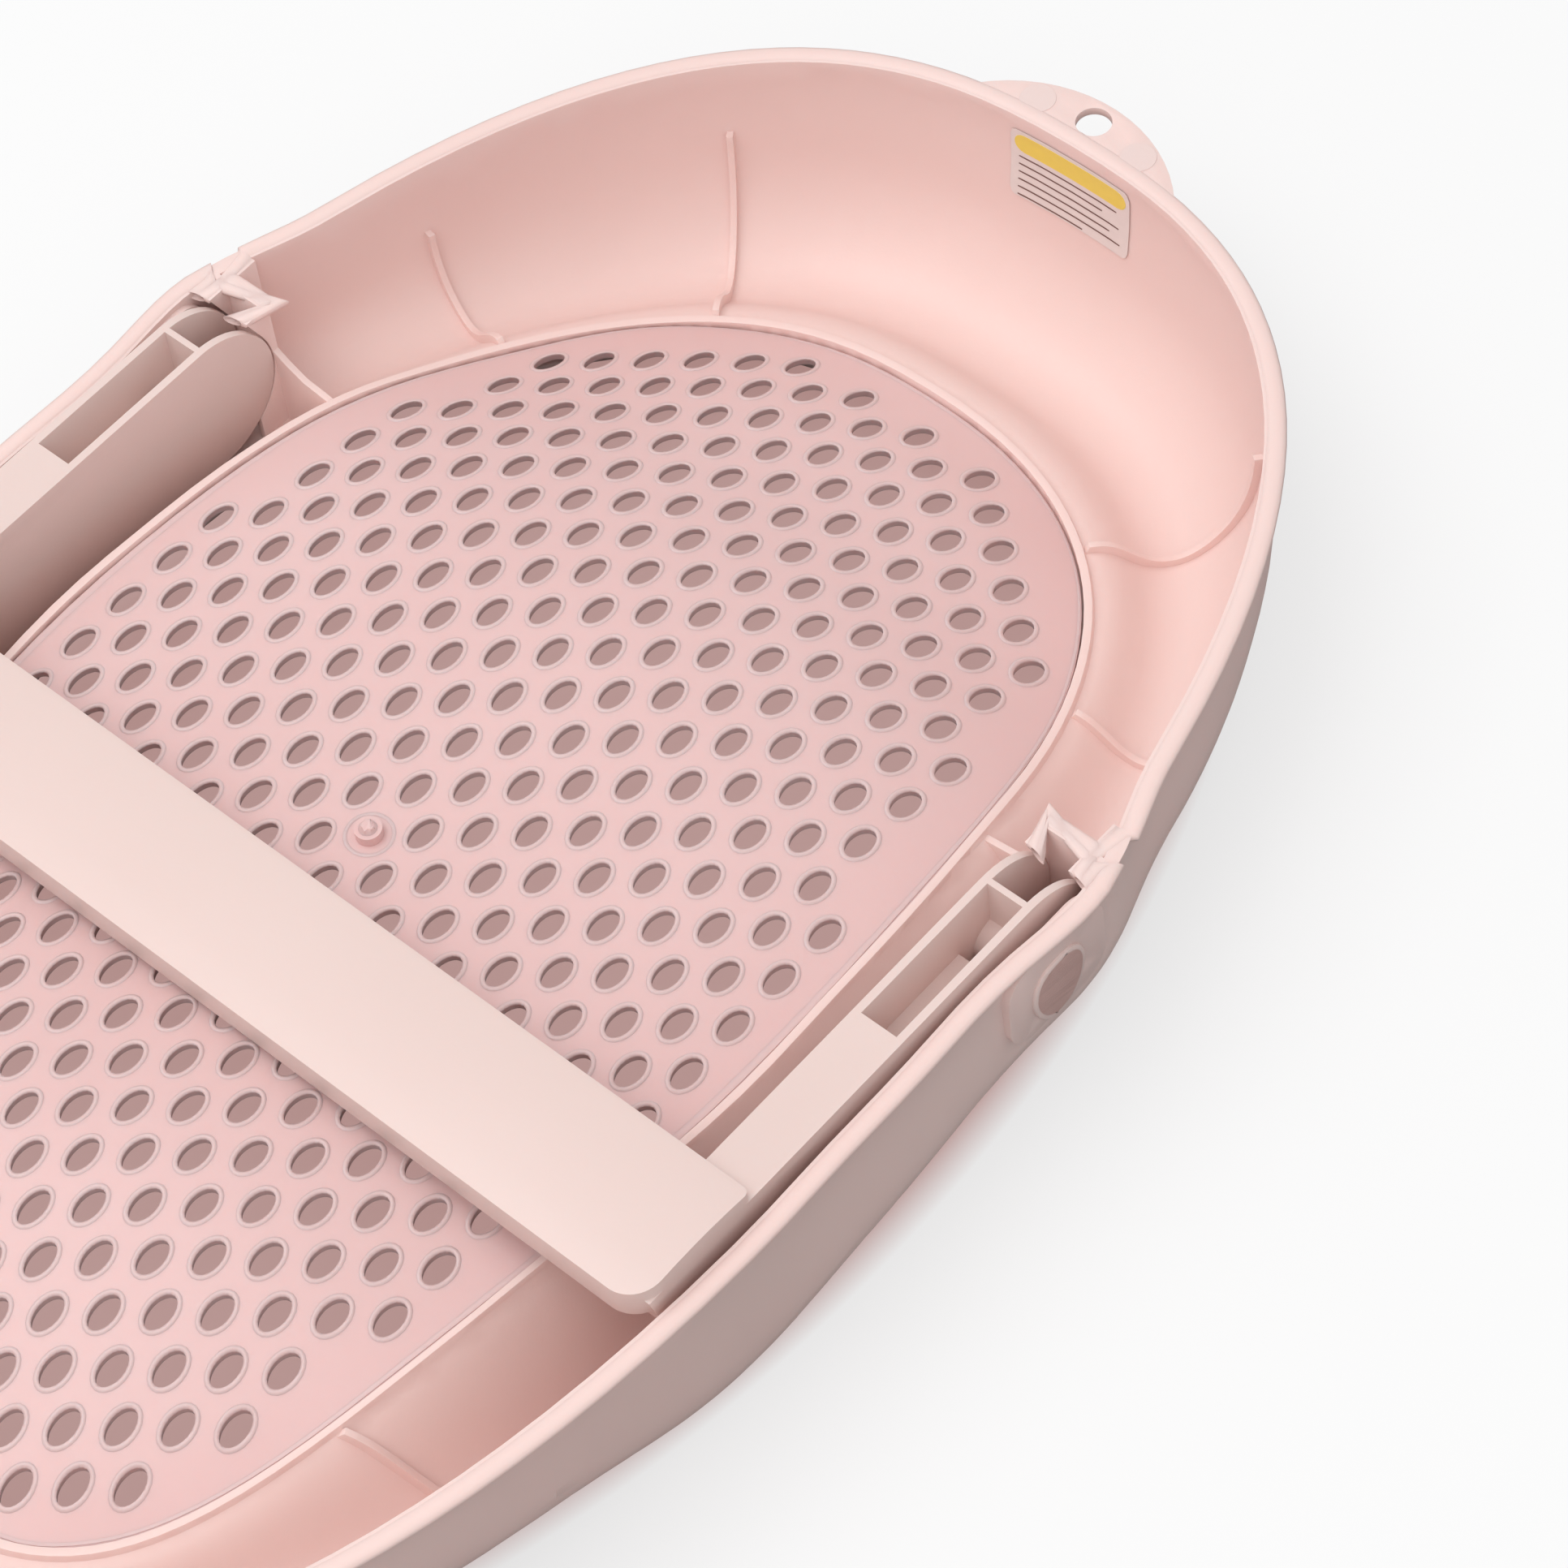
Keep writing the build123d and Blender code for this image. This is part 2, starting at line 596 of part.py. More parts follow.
made = {name: make() for name, make in PIECES.items()}
bottom = made["seat_shell"].bounding_box().min.Z
middle_x = (HEAD_LENGTH + TAB_REACH - FOOT_LENGTH) / 2
for name, piece in made.items():
    placed = piece.moved(Location((-middle_x, 0, -bottom)))
    export_step(placed, f"parts/{name}.step", write_pcurves=False)
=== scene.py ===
import json
import random
from math import cos, pi, radians, sin

import bmesh
import bpy
from mathutils import Matrix, Vector
from mathutils.bvhtree import BVHTree


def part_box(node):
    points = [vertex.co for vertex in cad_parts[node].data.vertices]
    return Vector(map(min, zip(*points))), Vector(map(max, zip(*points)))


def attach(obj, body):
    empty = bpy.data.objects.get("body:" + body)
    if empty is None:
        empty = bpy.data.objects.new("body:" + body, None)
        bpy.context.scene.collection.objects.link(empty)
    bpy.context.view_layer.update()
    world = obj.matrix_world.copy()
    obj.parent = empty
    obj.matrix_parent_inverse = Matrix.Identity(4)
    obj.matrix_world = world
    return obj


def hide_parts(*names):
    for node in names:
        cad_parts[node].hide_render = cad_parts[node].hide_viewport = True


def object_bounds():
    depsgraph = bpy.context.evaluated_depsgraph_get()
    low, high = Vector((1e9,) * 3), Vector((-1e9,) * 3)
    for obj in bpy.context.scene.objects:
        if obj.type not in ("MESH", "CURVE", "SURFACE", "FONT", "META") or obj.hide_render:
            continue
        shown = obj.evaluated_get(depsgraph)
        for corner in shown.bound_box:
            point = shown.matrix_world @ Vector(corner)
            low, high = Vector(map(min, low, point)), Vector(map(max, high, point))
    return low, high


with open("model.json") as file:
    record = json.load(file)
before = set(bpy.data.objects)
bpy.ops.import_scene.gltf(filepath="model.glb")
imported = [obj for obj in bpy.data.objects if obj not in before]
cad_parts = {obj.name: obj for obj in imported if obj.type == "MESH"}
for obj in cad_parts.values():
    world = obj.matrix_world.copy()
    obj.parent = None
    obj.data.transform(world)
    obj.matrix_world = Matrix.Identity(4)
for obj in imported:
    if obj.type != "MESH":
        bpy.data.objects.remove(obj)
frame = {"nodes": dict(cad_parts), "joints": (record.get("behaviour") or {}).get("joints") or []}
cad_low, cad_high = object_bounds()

nodes = frame["nodes"]
collection = bpy.context.scene.collection

# ---- camera -------------------------------------------------------------------------------
# A long lens looks down on the seat from beyond its foot, on the near side. It turns
# a little about its own line of sight, so the seat lies across the picture.
CAMERA_PLACE = Vector((-0.4706, -0.6450, 1.1768))
CAMERA_AZIMUTH = radians(47.32)
CAMERA_ELEVATION = radians(55.09)
CAMERA_ROLL = radians(-7.66)
LENS = 125.98             # millimetres, on a 36 mm square sensor

sight = Vector(
    (
        cos(CAMERA_ELEVATION) * cos(CAMERA_AZIMUTH),
        cos(CAMERA_ELEVATION) * sin(CAMERA_AZIMUTH),
        -sin(CAMERA_ELEVATION),
    )
)
level = sight.cross(Vector((0, 0, 1))).normalized()
upright = level.cross(sight)
across = level * cos(CAMERA_ROLL) + upright * sin(CAMERA_ROLL)
up = upright * cos(CAMERA_ROLL) - level * sin(CAMERA_ROLL)
camera = bpy.data.objects.new("camera", bpy.data.cameras.new("camera"))
camera.data.lens = LENS
camera.data.sensor_width = 36
camera.data.clip_end = 20
turn = Matrix((across, up, -sight)).transposed().to_4x4()
camera.matrix_world = Matrix.Translation(CAMERA_PLACE) @ turn
collection.objects.link(camera)
bpy.context.scene.camera = camera

# ---- floor and light ----------------------------------------------------------------------
# A plain pale floor under a broad soft light from overhead and the far left, with a weak
# fill from the foot end, so that the shadow is short and faint.
FLOOR_SIZE = 12.0
FLOOR_COLOUR = (0.28, 0.28, 0.28, 1)
FLOOR_GLOW = (0.65, 0.65, 0.65, 1)      # a light table, so shadows on it stay faint
PAINTED_UNDER_SEAT_GLOW = (0.40, 0.235, 0.22, 1)     # painted light: a pink glow on the floor under the seat, seen only by the camera, in place of light through the soft panel
GLOW_CLEAR = (0.27, 0.155)              # half sizes of the painted glow patch under the seat
FLOOR_DROP = 0.0002

floor_shape = bmesh.new()
bmesh.ops.create_grid(floor_shape, x_segments=2, y_segments=2, size=FLOOR_SIZE / 2)
bmesh.ops.translate(floor_shape, verts=floor_shape.verts, vec=(0, 0, cad_low.z - FLOOR_DROP))
floor_mesh = bpy.data.meshes.new("floor")
floor_shape.to_mesh(floor_mesh)
floor_shape.free()
floor = bpy.data.objects.new("floor", floor_mesh)
collection.objects.link(floor)
floor_paint = bpy.data.materials.new("floor_paint")
floor_paint.use_nodes = True
floor_shader = floor_paint.node_tree.nodes["Principled BSDF"]
floor_shader.inputs["Base Color"].default_value = FLOOR_COLOUR
floor_shader.inputs["Roughness"].default_value = 0.9
floor_shader.inputs["Specular IOR Level"].default_value = 0.1
floor_nodes = floor_paint.node_tree.nodes
floor_place = floor_nodes.new("ShaderNodeTexCoord")
shrink = floor_nodes.new("ShaderNodeVectorMath")
shrink.operation = "MULTIPLY"
shrink.inputs[1].default_value = (1 / GLOW_CLEAR[0], 1 / GLOW_CLEAR[1], 0)
distance = floor_nodes.new("ShaderNodeVectorMath")
distance.operation = "LENGTH"
# Painted light: inside the ellipse the floor glows pink for camera rays only, in place of light through the
# soft panel.
glow = floor_nodes.new("ShaderNodeValToRGB")
glow.color_ramp.elements[0].position = 0.93
glow.color_ramp.elements[0].color = PAINTED_UNDER_SEAT_GLOW
glow.color_ramp.elements[1].position = 1.0
glow.color_ramp.elements[1].color = FLOOR_GLOW
seen = floor_nodes.new("ShaderNodeLightPath")
floor_link = floor_paint.node_tree.links.new
floor_link(floor_place.outputs["Object"], shrink.inputs[0])
floor_link(shrink.outputs["Vector"], distance.inputs[0])
floor_link(distance.outputs["Value"], glow.inputs["Fac"])
floor_link(glow.outputs["Color"], floor_shader.inputs["Emission Color"])
floor_link(seen.outputs["Is Camera Ray"], floor_shader.inputs["Emission Strength"])
floor.data.materials.append(floor_paint)


def area_light(name, place, target, size, power):
    """A square soft light that faces a target."""
    lamp = bpy.data.lights.new(name, "AREA")
    lamp.shape = "SQUARE"
    lamp.size = size
    lamp.energy = power
    holder = bpy.data.objects.new(name, lamp)
    facing = (Vector(target) - Vector(place)).to_track_quat("-Z", "Y")
    holder.matrix_world = Matrix.Translation(Vector(place)) @ facing.to_matrix().to_4x4()
    collection.objects.link(holder)


area_light("key", (-0.5, 0.7, 2.3), (0.05, 0, 0), 1.8, 25)
area_light("fill", (-0.9, -0.7, 2.0), (0.0, 0, 0), 2.0, 13)

world = bpy.data.worlds.new("studio")
world.use_nodes = True
world.node_tree.nodes["Background"].inputs["Color"].default_value = (1.0, 1.0, 1.0, 1)
world.node_tree.nodes["Background"].inputs["Strength"].default_value = 0.66
bpy.context.scene.world = world
bpy.context.scene.view_settings.view_transform = "Standard"


# ---- seat shell ---------------------------------------------------------------------------
# Polypropylene, injection moulded in one piece with its ribs, pivot brackets and hanging
# tab. Every moulded edge is slightly round, and the free edge is rolled outwards.
SHELL_EDGE_ROUND = 0.0005
SHELL_EDGE_ANGLE = radians(38)
SAME_PLACE = 2e-6
RIM_ROLL_WIDTH = 0.0056
RIM_ROLL_RISE = 0.0006
RIM_ROLL_DEPTH = 0.0030
RIM_ROLL_INSET = 0.0002   # the roll keeps clear of the stand, which swings past it
SHELL_COLOUR = (0.845, 0.640, 0.600)
SHELL_SHADE = (0.830, 0.615, 0.575)


def moulded_plastic(name, colour, shade, roughness, grain, scatter):
    """Tinted moulded plastic: faint flow marks in the colour and a fine satin grain."""
    material = bpy.data.materials.new(name)
    material.use_nodes = True
    tree = material.node_tree
    shader = tree.nodes["Principled BSDF"]
    shader.inputs["Specular IOR Level"].default_value = 0.36
    shader.inputs["Subsurface Weight"].default_value = scatter
    shader.inputs["Subsurface Radius"].default_value = (1.0, 0.55, 0.45)
    shader.inputs["Subsurface Scale"].default_value = 0.004
    place = tree.nodes.new("ShaderNodeTexCoord")
    flow = tree.nodes.new("ShaderNodeTexNoise")
    flow.inputs["Scale"].default_value = 9
    flow.inputs["Detail"].default_value = 3
    tint = tree.nodes.new("ShaderNodeValToRGB")
    tint.color_ramp.elements[0].position = 0.3
    tint.color_ramp.elements[0].color = (*shade, 1)
    tint.color_ramp.elements[1].position = 0.7
    tint.color_ramp.elements[1].color = (*colour, 1)
    fine = tree.nodes.new("ShaderNodeTexNoise")
    fine.inputs["Scale"].default_value = 900
    fine.inputs["Detail"].default_value = 2
    gloss = tree.nodes.new("ShaderNodeMapRange")
    gloss.inputs["To Min"].default_value = roughness - 0.05
    gloss.inputs["To Max"].default_value = roughness + 0.05
    bump = tree.nodes.new("ShaderNodeBump")
    bump.inputs["Strength"].default_value = grain
    bump.inputs["Distance"].default_value = 0.0002
    link = tree.links.new
    link(place.outputs["Object"], flow.inputs["Vector"])
    link(place.outputs["Object"], fine.inputs["Vector"])
    link(flow.outputs["Fac"], tint.inputs["Fac"])
    link(tint.outputs["Color"], shader.inputs["Base Color"])
    link(fine.outputs["Fac"], gloss.inputs["Value"])
    link(gloss.outputs["Result"], shader.inputs["Roughness"])
    link(fine.outputs["Fac"], bump.inputs["Height"])
    link(bump.outputs["Normal"], shader.inputs["Normal"])
    return material


def finished(shape, name, material, body):
    """Makes a piece of a finished bmesh: material and body."""
    mesh = bpy.data.meshes.new(name)
    shape.to_mesh(mesh)
    shape.free()
    mesh.materials.append(material)
    piece = bpy.data.objects.new(name, mesh)
    collection.objects.link(piece)
    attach(piece, body)
    return piece


def shade_by_angle(shape, angle):
    """Smooth faces, with the edges that turn by more than the angle left crisp."""
    for face in shape.faces:
        face.smooth = True
    for edge in shape.edges:
        edge.smooth = edge.is_manifold and edge.calc_face_angle(0) < angle


def rounded_copy(node, flat_angle, edge_angle, offset, segments):
    """A moulding from a CAD node's mesh, with all its crisp edges rounded."""
    shape = bmesh.new()
    shape.from_mesh(nodes[node].data)
    bmesh.ops.remove_doubles(shape, verts=shape.verts, dist=SAME_PLACE)
    bmesh.ops.dissolve_limit(
        shape, angle_limit=flat_angle, verts=shape.verts, edges=shape.edges
    )
    crisp = [e for e in shape.edges if e.is_manifold and e.calc_face_angle(0) > edge_angle]
    bmesh.ops.bevel(
        shape,
        geom=crisp,
        offset=offset,
        offset_type="OFFSET",
        segments=segments,
        profile=0.5,
        affect="EDGES",
        clamp_overlap=True,
        material=-1,
    )
    return shape


def crisp_rings(node, lowest, upward):
    """The rings of crisp edges round a node's upward faces, each as points in order."""
    source = bmesh.new()
    source.from_mesh(nodes[node].data)
    bmesh.ops.remove_doubles(source, verts=source.verts, dist=SAME_PLACE)
    neighbours = {}
    for edge in source.edges:
        if min(v.co.z for v in edge.verts) < lowest or edge.calc_face_angle(0) < radians(35):
            continue
        if len([face for face in edge.link_faces if face.normal.z > upward]) == 1:
            for one, other in (edge.verts, reversed(edge.verts)):
                neighbours.setdefault(one, []).append(other)
    rings = []
    left = set(neighbours)
    while left:
        here = left.pop()
        ring = [here]
        while True:
            ahead = [v for v in neighbours[here] if v in left]
            if not ahead:
                break
            here = ahead[0]
            left.discard(here)
            ring.append(here)
        rings.append([v.co.copy() for v in ring])
    source.free()
    return rings


def span(ring):
    """Length of a ring of points, along the seat."""
    return max(point.x for point in ring) - min(point.x for point in ring)


def swept_ring(path, section):
    """A closed tube: a section of (outward, upward) offsets carried round a plan path."""
    shape = bmesh.new()
    middle = sum(path, Vector()) / len(path)
    loops = []
    for i, point in enumerate(path):
        run = path[(i + 1) % len(path)] - path[i - 1]
        outward = Vector((run.y, -run.x, 0)).normalized()
        if outward.dot(point - middle) < 0:
            outward.negate()
        verts = [shape.verts.new(point + outward * o + Vector((0, 0, u))) for o, u in section]
        loops.append(
            [shape.edges.new((verts[k - 1], verts[k])) for k in range(len(verts))]
        )
    for i, loop in enumerate(loops):
        bmesh.ops.bridge_loops(shape, edges=loops[i - 1] + loop)
    bmesh.ops.recalc_face_normals(shape, faces=shape.faces)
    return shape


shell_plastic = moulded_plastic(
    "shell_plastic", SHELL_COLOUR, SHELL_SHADE, roughness=0.42, grain=0.12, scatter=0.15
)
shell = rounded_copy(
    "seat_shell", radians(0.6), SHELL_EDGE_ANGLE, SHELL_EDGE_ROUND, segments=2
)
shade_by_angle(shell, SHELL_EDGE_ANGLE)
shell_tree = BVHTree.FromBMesh(shell)
seat_shell = finished(shell, "moulded_shell", shell_plastic, "seat")
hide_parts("seat_shell")

shell_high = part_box("seat_shell")[1]
edge_rings = crisp_rings("seat_shell", shell_high.z - 0.0004, upward=0.97)
edge_path = min((r for r in edge_rings if span(r) > 0.4), key=span)
rim_section = []
for i in range(12):
    turn_angle = 2 * pi * i / 12
    rim_section.append(
        (
            RIM_ROLL_INSET + RIM_ROLL_WIDTH / 2 * (1 + cos(turn_angle)),
            RIM_ROLL_RISE - RIM_ROLL_DEPTH * (1 - sin(turn_angle)) / 2,
        )
    )
roll = swept_ring(edge_path, rim_section)
shade_by_angle(roll, radians(60))
finished(roll, "rolled_rim", shell_plastic, "seat")

# ---- soft panel ---------------------------------------------------------------------------
# Thermoplastic elastomer, moulded onto the shell's ledge. Each drain hole has a raised
# round lip, and the moulding gate is left as a torn nub in a shallow dish.
PANEL_COLOUR = (0.765, 0.520, 0.505)
PANEL_SHADE = (0.735, 0.485, 0.470)
LIP_LONG = 0.0052         # middle of a hole to its edge, along the seat
LIP_SHORT = 0.0032
LIP_WIDTH = 0.0013
LIP_RISE = 0.00035
LIP_SIDES = 20
PROBE = 0.0010            # outside the hole's edge, where the panel's height is read

panel_soft = moulded_plastic(
    "panel_soft", PANEL_COLOUR, PANEL_SHADE, roughness=0.33, grain=0.06, scatter=0.35
)
panel_node = nodes["seat_panel"]
panel_node.data.materials.clear()
panel_node.data.materials.append(panel_soft)
panel_tree = BVHTree.FromObject(panel_node, bpy.context.evaluated_depsgraph_get())
panel_low, panel_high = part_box("seat_panel")


def panel_top(x, y):
    """Height of the panel's upper face, or None over a hole."""
    hit = panel_tree.ray_cast(Vector((x, y, panel_high.z + 0.02)), Vector((0, 0, -1)))
    return None if hit[0] is None or hit[1].z < 0.3 else hit[0].z


def hole_lips(shape, x, y):
    """One hole's lip: a half-round ring that follows the dome."""
    long_probe = LIP_LONG + PROBE
    short_probe = LIP_SHORT + PROBE
    ahead, behind = panel_top(x + long_probe, y), panel_top(x - long_probe, y)
    left, right = panel_top(x, y + short_probe), panel_top(x, y - short_probe)
    if None in (ahead, behind, left, right):
        return
    middle = (ahead + behind + left + right) / 4
    along = (ahead - behind) / (2 * long_probe)
    over = (left - right) / (2 * short_probe)
    loops = []
    for grow, rise in ((-0.15, -1.2), (-0.1, 0.35), (0.3, 1.0), (0.7, 0.8), (1.0, -0.4)):
        verts = []
        for k in range(LIP_SIDES):
            turn_angle = 2 * pi * k / LIP_SIDES
            dx = (LIP_LONG + LIP_WIDTH * grow) * cos(turn_angle)
            dy = (LIP_SHORT + LIP_WIDTH * grow) * sin(turn_angle)
            z = middle + along * dx + over * dy + LIP_RISE * rise
            verts.append(shape.verts.new((x + dx, y + dy, z)))
        loops.append([shape.edges.new((verts[k - 1], verts[k])) for k in range(LIP_SIDES)])
    for inner, outer in zip(loops, loops[1:] + loops[:1]):
        bmesh.ops.bridge_loops(shape, edges=inner + outer)


HOLE_STEP_X = 0.00855     # half a pitch, along and across
HOLE_STEP_Y = 0.0105
gate_x = -(cad_high.x - cad_low.x) / 2 + 0.258
lips = bmesh.new()
for i in range(-28, 29):
    for j in range(-12, 13):
        x = gate_x + i * HOLE_STEP_X
        y = j * HOLE_STEP_Y
        if (i + j) % 2 == 0 and panel_top(x, y) is None:
            hole_lips(lips, x, y)
bmesh.ops.recalc_face_normals(lips, faces=lips.faces)
shade_by_angle(lips, radians(70))
finished(lips, "hole_lips", panel_soft, "seat")

BAND = (                  # the panel's slanted edge: outward and upward from its crisp edge
    (-0.0046, -0.0004),
    (-0.0043, 0.0001),
    (-0.0010, 0.0005),
    (-0.0003, 0.0003),
    (-0.0001, -0.0005),
)
panel_rings = crisp_rings("seat_panel", panel_low.z, upward=0.3)
band = swept_ring(max(panel_rings, key=span), BAND)
shade_by_angle(band, radians(40))
finished(band, "panel_edge_band", panel_soft, "seat")

GATE_DISH_RADIUS = 0.0062
GATE_SIDES = 40
gate = bmesh.new()
gate_top = panel_top(gate_x, 0)
dish_path = []
for k in range(GATE_SIDES):
    dish_x = gate_x + GATE_DISH_RADIUS * cos(2 * pi * k / GATE_SIDES)
    dish_y = GATE_DISH_RADIUS * sin(2 * pi * k / GATE_SIDES)
    dish_path.append(Vector((dish_x, dish_y, panel_top(dish_x, dish_y))))
dish = swept_ring(dish_path, [(-0.0007, -0.0002), (-0.0004, 0.0002), (0.0004, 0.0002), (0.0007, -0.0002)])
shade_by_angle(dish, radians(70))
finished(dish, "gate_dish", panel_soft, "seat")

SPRUE_RADIUS = 0.0026
SPRUE_HEIGHT = 0.0016
random.seed(7)
bmesh.ops.create_cone(
    gate,
    cap_ends=True,
    segments=14,
    radius1=SPRUE_RADIUS,
    radius2=SPRUE_RADIUS * 0.6,
    depth=SPRUE_HEIGHT,
)
bmesh.ops.subdivide_edges(gate, edges=gate.edges, cuts=1, use_grid_fill=True)
for vert in gate.verts:
    if vert.co.z > 0:
        torn = Vector((random.uniform(-1, 1), random.uniform(-1, 1), random.uniform(-1, 1)))
        vert.co += torn * SPRUE_RADIUS * 0.16
bmesh.ops.translate(gate, verts=gate.verts, vec=(gate_x, 0, gate_top + SPRUE_HEIGHT * 0.4))
shade_by_angle(gate, radians(50))
finished(gate, "gate_sprue", panel_soft, "seat")

# ---- moulding marks on the tab ------------------------------------------------------------
# Two round marks where the mould's ejector pins pushed the tab out.
MARK_RADIUS = 0.0051
MARK_RISE = 0.00018
MARK_SIDE = 0.0173
MARK_INSET = 0.0095       # tip of the tab to a mark's middle
for side, word in ((1, "left"), (-1, "right")):
    mark = bmesh.new()
    bmesh.ops.create_cone(
        mark, cap_ends=True, segments=48, radius1=MARK_RADIUS, radius2=MARK_RADIUS * 0.97,
        depth=2 * MARK_RISE,
    )
    mark_place = (shell_high.x - MARK_INSET, side * MARK_SIDE, shell_high.z)
    bmesh.ops.translate(mark, verts=mark.verts, vec=mark_place)
    shade_by_angle(mark, radians(30))
    finished(mark, "ejector_mark_" + word, shell_plastic, "seat")

# ---- pivot shields ------------------------------------------------------------------------
# Outside each pivot the shell has a shield-shaped border round the end of the stand's
# pin. The pin's end is a low round head with a chamfered edge.
pivot = Vector(frame["joints"][0]["pos_m"])
SHIELD_HALF = 0.0098
SHIELD_TOP = 0.0098
SHIELD_LOW = -0.0135
SHIELD_BORDER = 0.0016
SHIELD_RISE = 0.0009
SHIELD_SIDES = 64
HEAD_RADIUS = 0.0056
HEAD_RISE = 0.0008


def shield_place(turn_angle, scale):
    """Outline of the shield: round over the pin, narrower towards its foot."""
    reach = SHIELD_TOP if sin(turn_angle) > 0 else -SHIELD_LOW
    half = SHIELD_HALF * (1 - 0.25 * max(0.0, -sin(turn_angle)) ** 2)
    across_x = half * abs(cos(turn_angle)) ** 0.7 * (1 if cos(turn_angle) > 0 else -1)
    return scale * across_x, scale * reach * sin(turn_angle)


for side, word in ((1, "left"), (-1, "right")):
    probe = Vector((pivot.x + HEAD_RADIUS * 1.4, side * 0.3, pivot.z))
    face_y = shell_tree.ray_cast(probe, Vector((0, -side, 0)))[0].y
    shield = bmesh.new()
    loops = []
    for scale, rise in ((1.0, -0.3), (0.99, 0.7), (0.95, 1.0), (0.87, 1.0), (0.83, 0.7), (0.82, -0.3)):
        verts = []
        for k in range(SHIELD_SIDES):
            dx, dz = shield_place(2 * pi * k / SHIELD_SIDES, scale)
            verts.append(shield.verts.new((pivot.x + dx, face_y + side * rise * SHIELD_RISE, pivot.z + dz)))
        loops.append([shield.edges.new((verts[k - 1], verts[k])) for k in range(SHIELD_SIDES)])
    for inner, outer in zip(loops, loops[1:] + loops[:1]):
        bmesh.ops.bridge_loops(shield, edges=inner + outer)
    bmesh.ops.recalc_face_normals(shield, faces=shield.faces)
    shade_by_angle(shield, radians(50))
    finished(shield, "pivot_shield_" + word, shell_plastic, "seat")

# ---- folding stand ------------------------------------------------------------------------
# The same plastic in a paler tint: two channel-section arms and a crowned bar in one
# moulding, sprung onto the shell by the pins at the arms' ends.
STAND_COLOUR = (0.760, 0.600, 0.560)
STAND_SHADE = (0.745, 0.580, 0.540)
STAND_EDGE_ROUND = 0.0008

stand_plastic = moulded_plastic(
    "stand_plastic", STAND_COLOUR, STAND_SHADE, roughness=0.42, grain=0.12, scatter=0.15
)
stand = rounded_copy("folding_stand", radians(1), radians(30), STAND_EDGE_ROUND, segments=3)
shade_by_angle(stand, radians(30))
stand_piece = finished(stand, "moulded_stand", stand_plastic, "stand")
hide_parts("folding_stand")

for side, word in ((1, "left"), (-1, "right")):
    head = bmesh.new()
    bmesh.ops.create_cone(
        head, cap_ends=True, segments=48, radius1=HEAD_RADIUS * 0.86, radius2=HEAD_RADIUS * 0.86,
        depth=4 * HEAD_RISE,
    )
    rims = [e for e in head.edges if abs(e.verts[0].co.z - e.verts[1].co.z) < 1e-6]
    bmesh.ops.bevel(
        head, geom=rims, offset=HEAD_RISE * 0.7, offset_type="OFFSET", segments=3, profile=0.5,
        affect="EDGES", material=-1,
    )
    stand_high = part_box("folding_stand")[1]
    bmesh.ops.rotate(head, verts=head.verts, matrix=Matrix.Rotation(-side * pi / 2, 3, "X"))
    bmesh.ops.translate(head, verts=head.verts, vec=(pivot.x, side * (stand_high.y - HEAD_RISE), pivot.z))
    shade_by_angle(head, radians(30))
    finished(head, "pin_head_" + word, stand_plastic, "stand")

# ---- label --------------------------------------------------------------------------------
# A white film sticker with round corners, printed with a plain yellow bar and plain rules.
LABEL_CORNER = 0.0022
LABEL_LIFT = 0.00025
FILM_COLOUR = (0.80, 0.70, 0.67, 1)
YELLOW = (0.88, 0.66, 0.10, 1)
INK = (0.16, 0.07, 0.06, 1)
BAR_HEIGHT = 0.0068
BAR_MARGIN = 0.0013
RULE_HEIGHT = 0.00042
RULE_PITCH = 0.0028
RULE_ENDS = (0.94, 0.80, 0.97, 0.88, 0.99, 0.62)

label_low, label_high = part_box("label")
label_half = (label_high.y - label_low.y) / 2


def printed(name, colour, roughness):
    """Printed film: even colour with a very slight mottle and an egg-shell finish."""
    material = bpy.data.materials.new(name)
    material.use_nodes = True
    tree = material.node_tree
    shader = tree.nodes["Principled BSDF"]
    shader.inputs["Roughness"].default_value = roughness
    place = tree.nodes.new("ShaderNodeTexCoord")
    mottle = tree.nodes.new("ShaderNodeTexNoise")
    mottle.inputs["Scale"].default_value = 400
    tint = tree.nodes.new("ShaderNodeValToRGB")
    tint.color_ramp.elements[0].color = [0.94 * c for c in colour[:3]] + [1]
    tint.color_ramp.elements[1].color = colour
    tree.links.new(place.outputs["Object"], mottle.inputs["Vector"])
    tree.links.new(mottle.outputs["Fac"], tint.inputs["Fac"])
    tree.links.new(tint.outputs["Color"], shader.inputs["Base Color"])
    return material


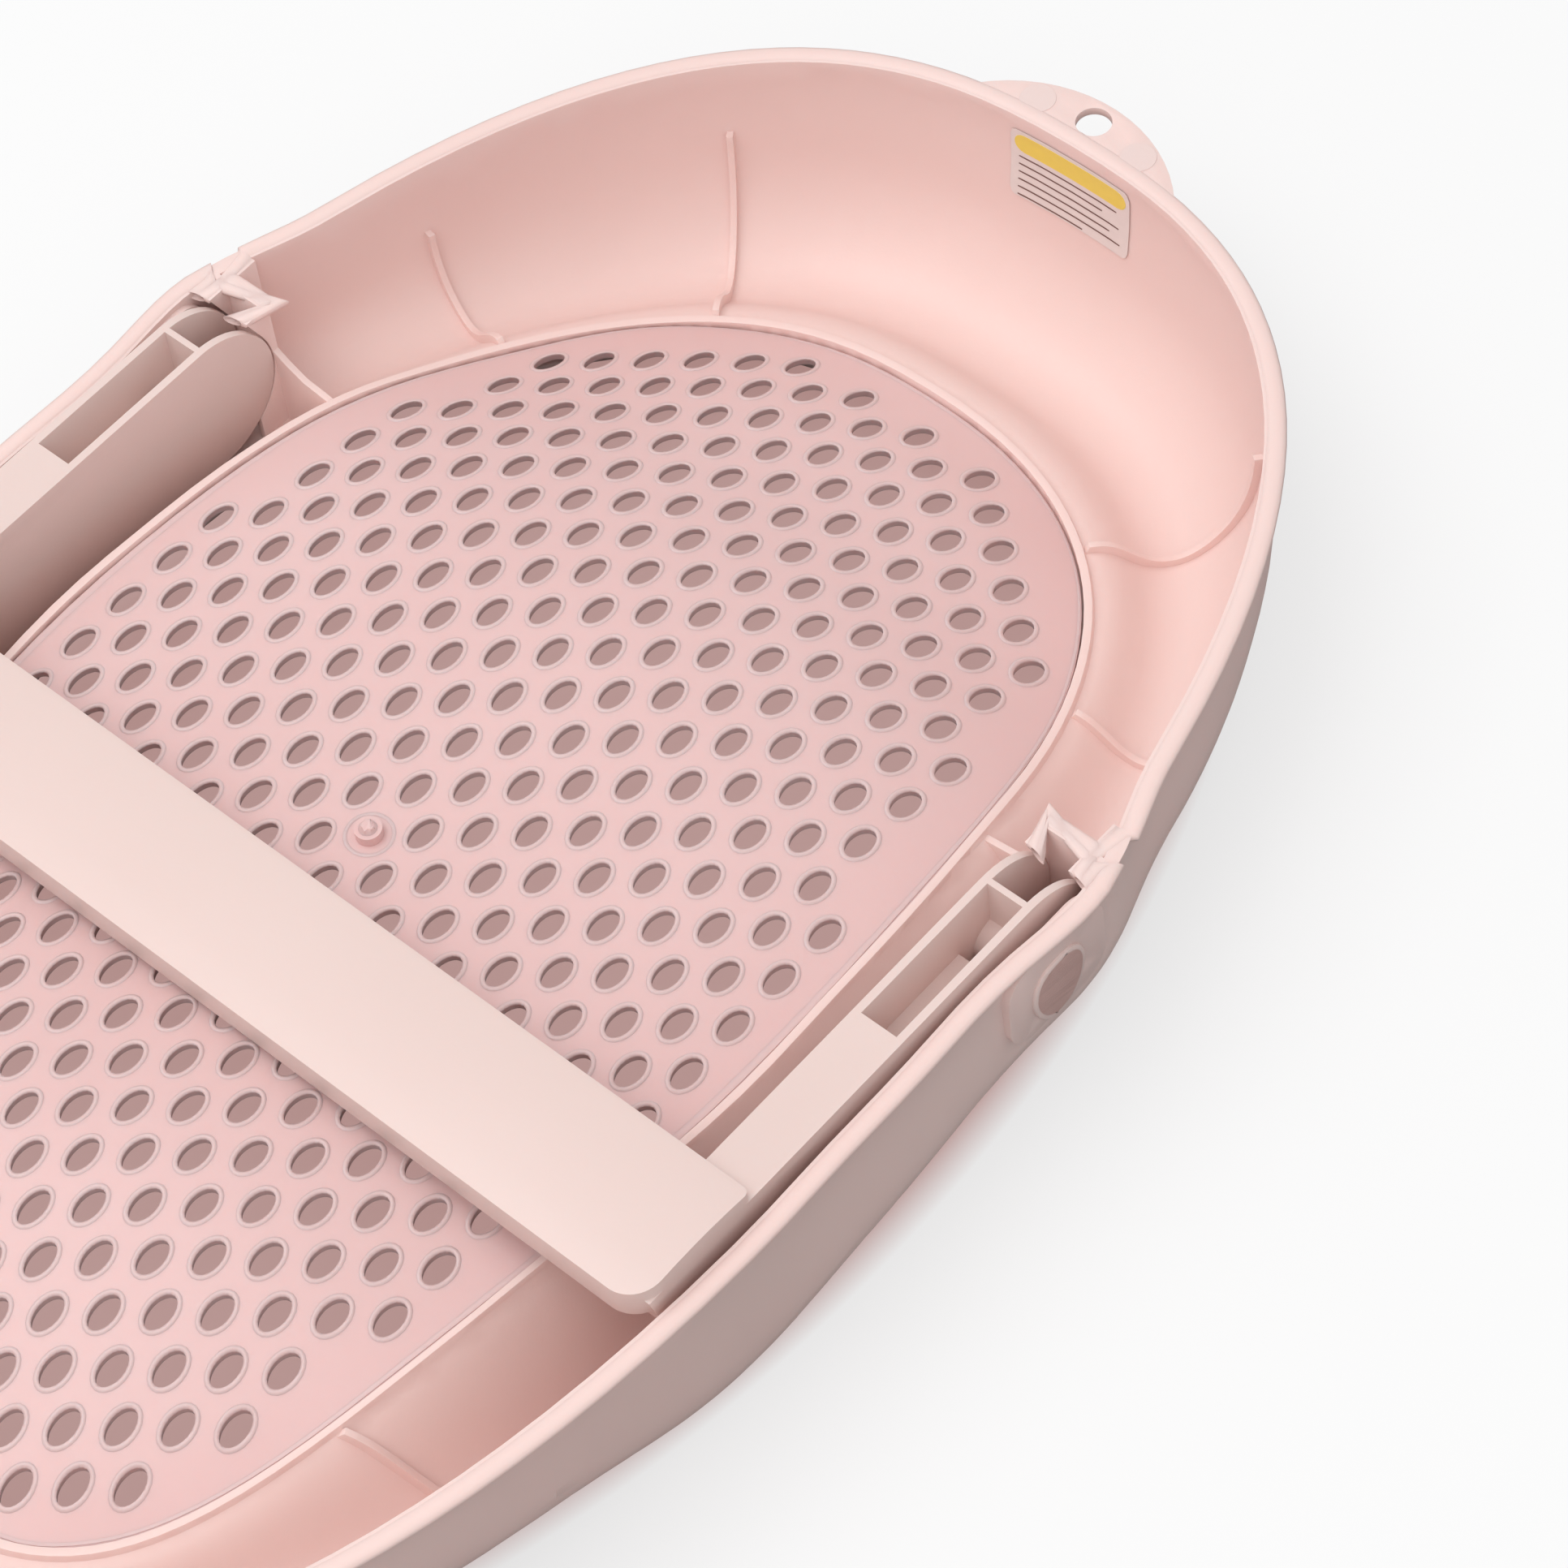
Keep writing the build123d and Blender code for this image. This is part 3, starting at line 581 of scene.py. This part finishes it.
def sticker_patch(name, material, left, right, low, high, corner, lift):
    """A thin patch with round corners that lies on the inside of the skirt."""
    patch = bmesh.new()
    half_wide, half_high = (right - left) / 2, (high - low) / 2
    bmesh.ops.create_grid(patch, x_segments=24, y_segments=10, size=1)
    for vert in patch.verts:
        u, v = vert.co.x * half_wide, vert.co.y * half_high
        past = Vector((abs(u) - half_wide + corner, abs(v) - half_high + corner))
        if past.x > 0 and past.y > 0 and past.length > corner:
            past *= corner / past.length
            u = (half_wide - corner + past.x) * (1 if u > 0 else -1)
            v = (half_high - corner + past.y) * (1 if v > 0 else -1)
        y = (left + right) / 2 + u
        z = (low + high) / 2 + v
        hit = shell_tree.ray_cast(Vector((label_low.x - 0.02, y, z)), Vector((1, 0, 0)))[0]
        vert.co = (hit.x - lift, y, z)
    rim = bmesh.ops.extrude_face_region(patch, geom=patch.faces[:])
    front = [g for g in rim["geom"] if isinstance(g, bmesh.types.BMVert)]
    bmesh.ops.translate(patch, verts=front, vec=(-LABEL_LIFT / 2, 0, 0))
    bmesh.ops.recalc_face_normals(patch, faces=patch.faces)
    shade_by_angle(patch, radians(40))
    return finished(patch, name, material, "seat")


film = printed("label_film", FILM_COLOUR, 0.4)
yellow = printed("label_yellow", YELLOW, 0.4)
ink = printed("label_ink", INK, 0.5)
base = sticker_patch(
    "label_sticker", film, -label_half, label_half, label_low.z, label_high.z, LABEL_CORNER, LABEL_LIFT
)
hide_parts("label")
bar_low = label_high.z - BAR_MARGIN - BAR_HEIGHT
sticker_patch(
    "label_bar", yellow, BAR_MARGIN - label_half, label_half - BAR_MARGIN, bar_low,
    bar_low + BAR_HEIGHT, BAR_HEIGHT / 2, 1.4 * LABEL_LIFT,
)
for row, end in enumerate(RULE_ENDS):
    rule_z = bar_low - 0.8 * RULE_PITCH - row * RULE_PITCH
    rule_start = label_half - 2 * BAR_MARGIN
    sticker_patch(
        f"label_rule_{row}", ink, rule_start - end * 2 * (label_half - 2 * BAR_MARGIN), rule_start,
        rule_z, rule_z + RULE_HEIGHT, RULE_HEIGHT / 3, 1.4 * LABEL_LIFT,
    )
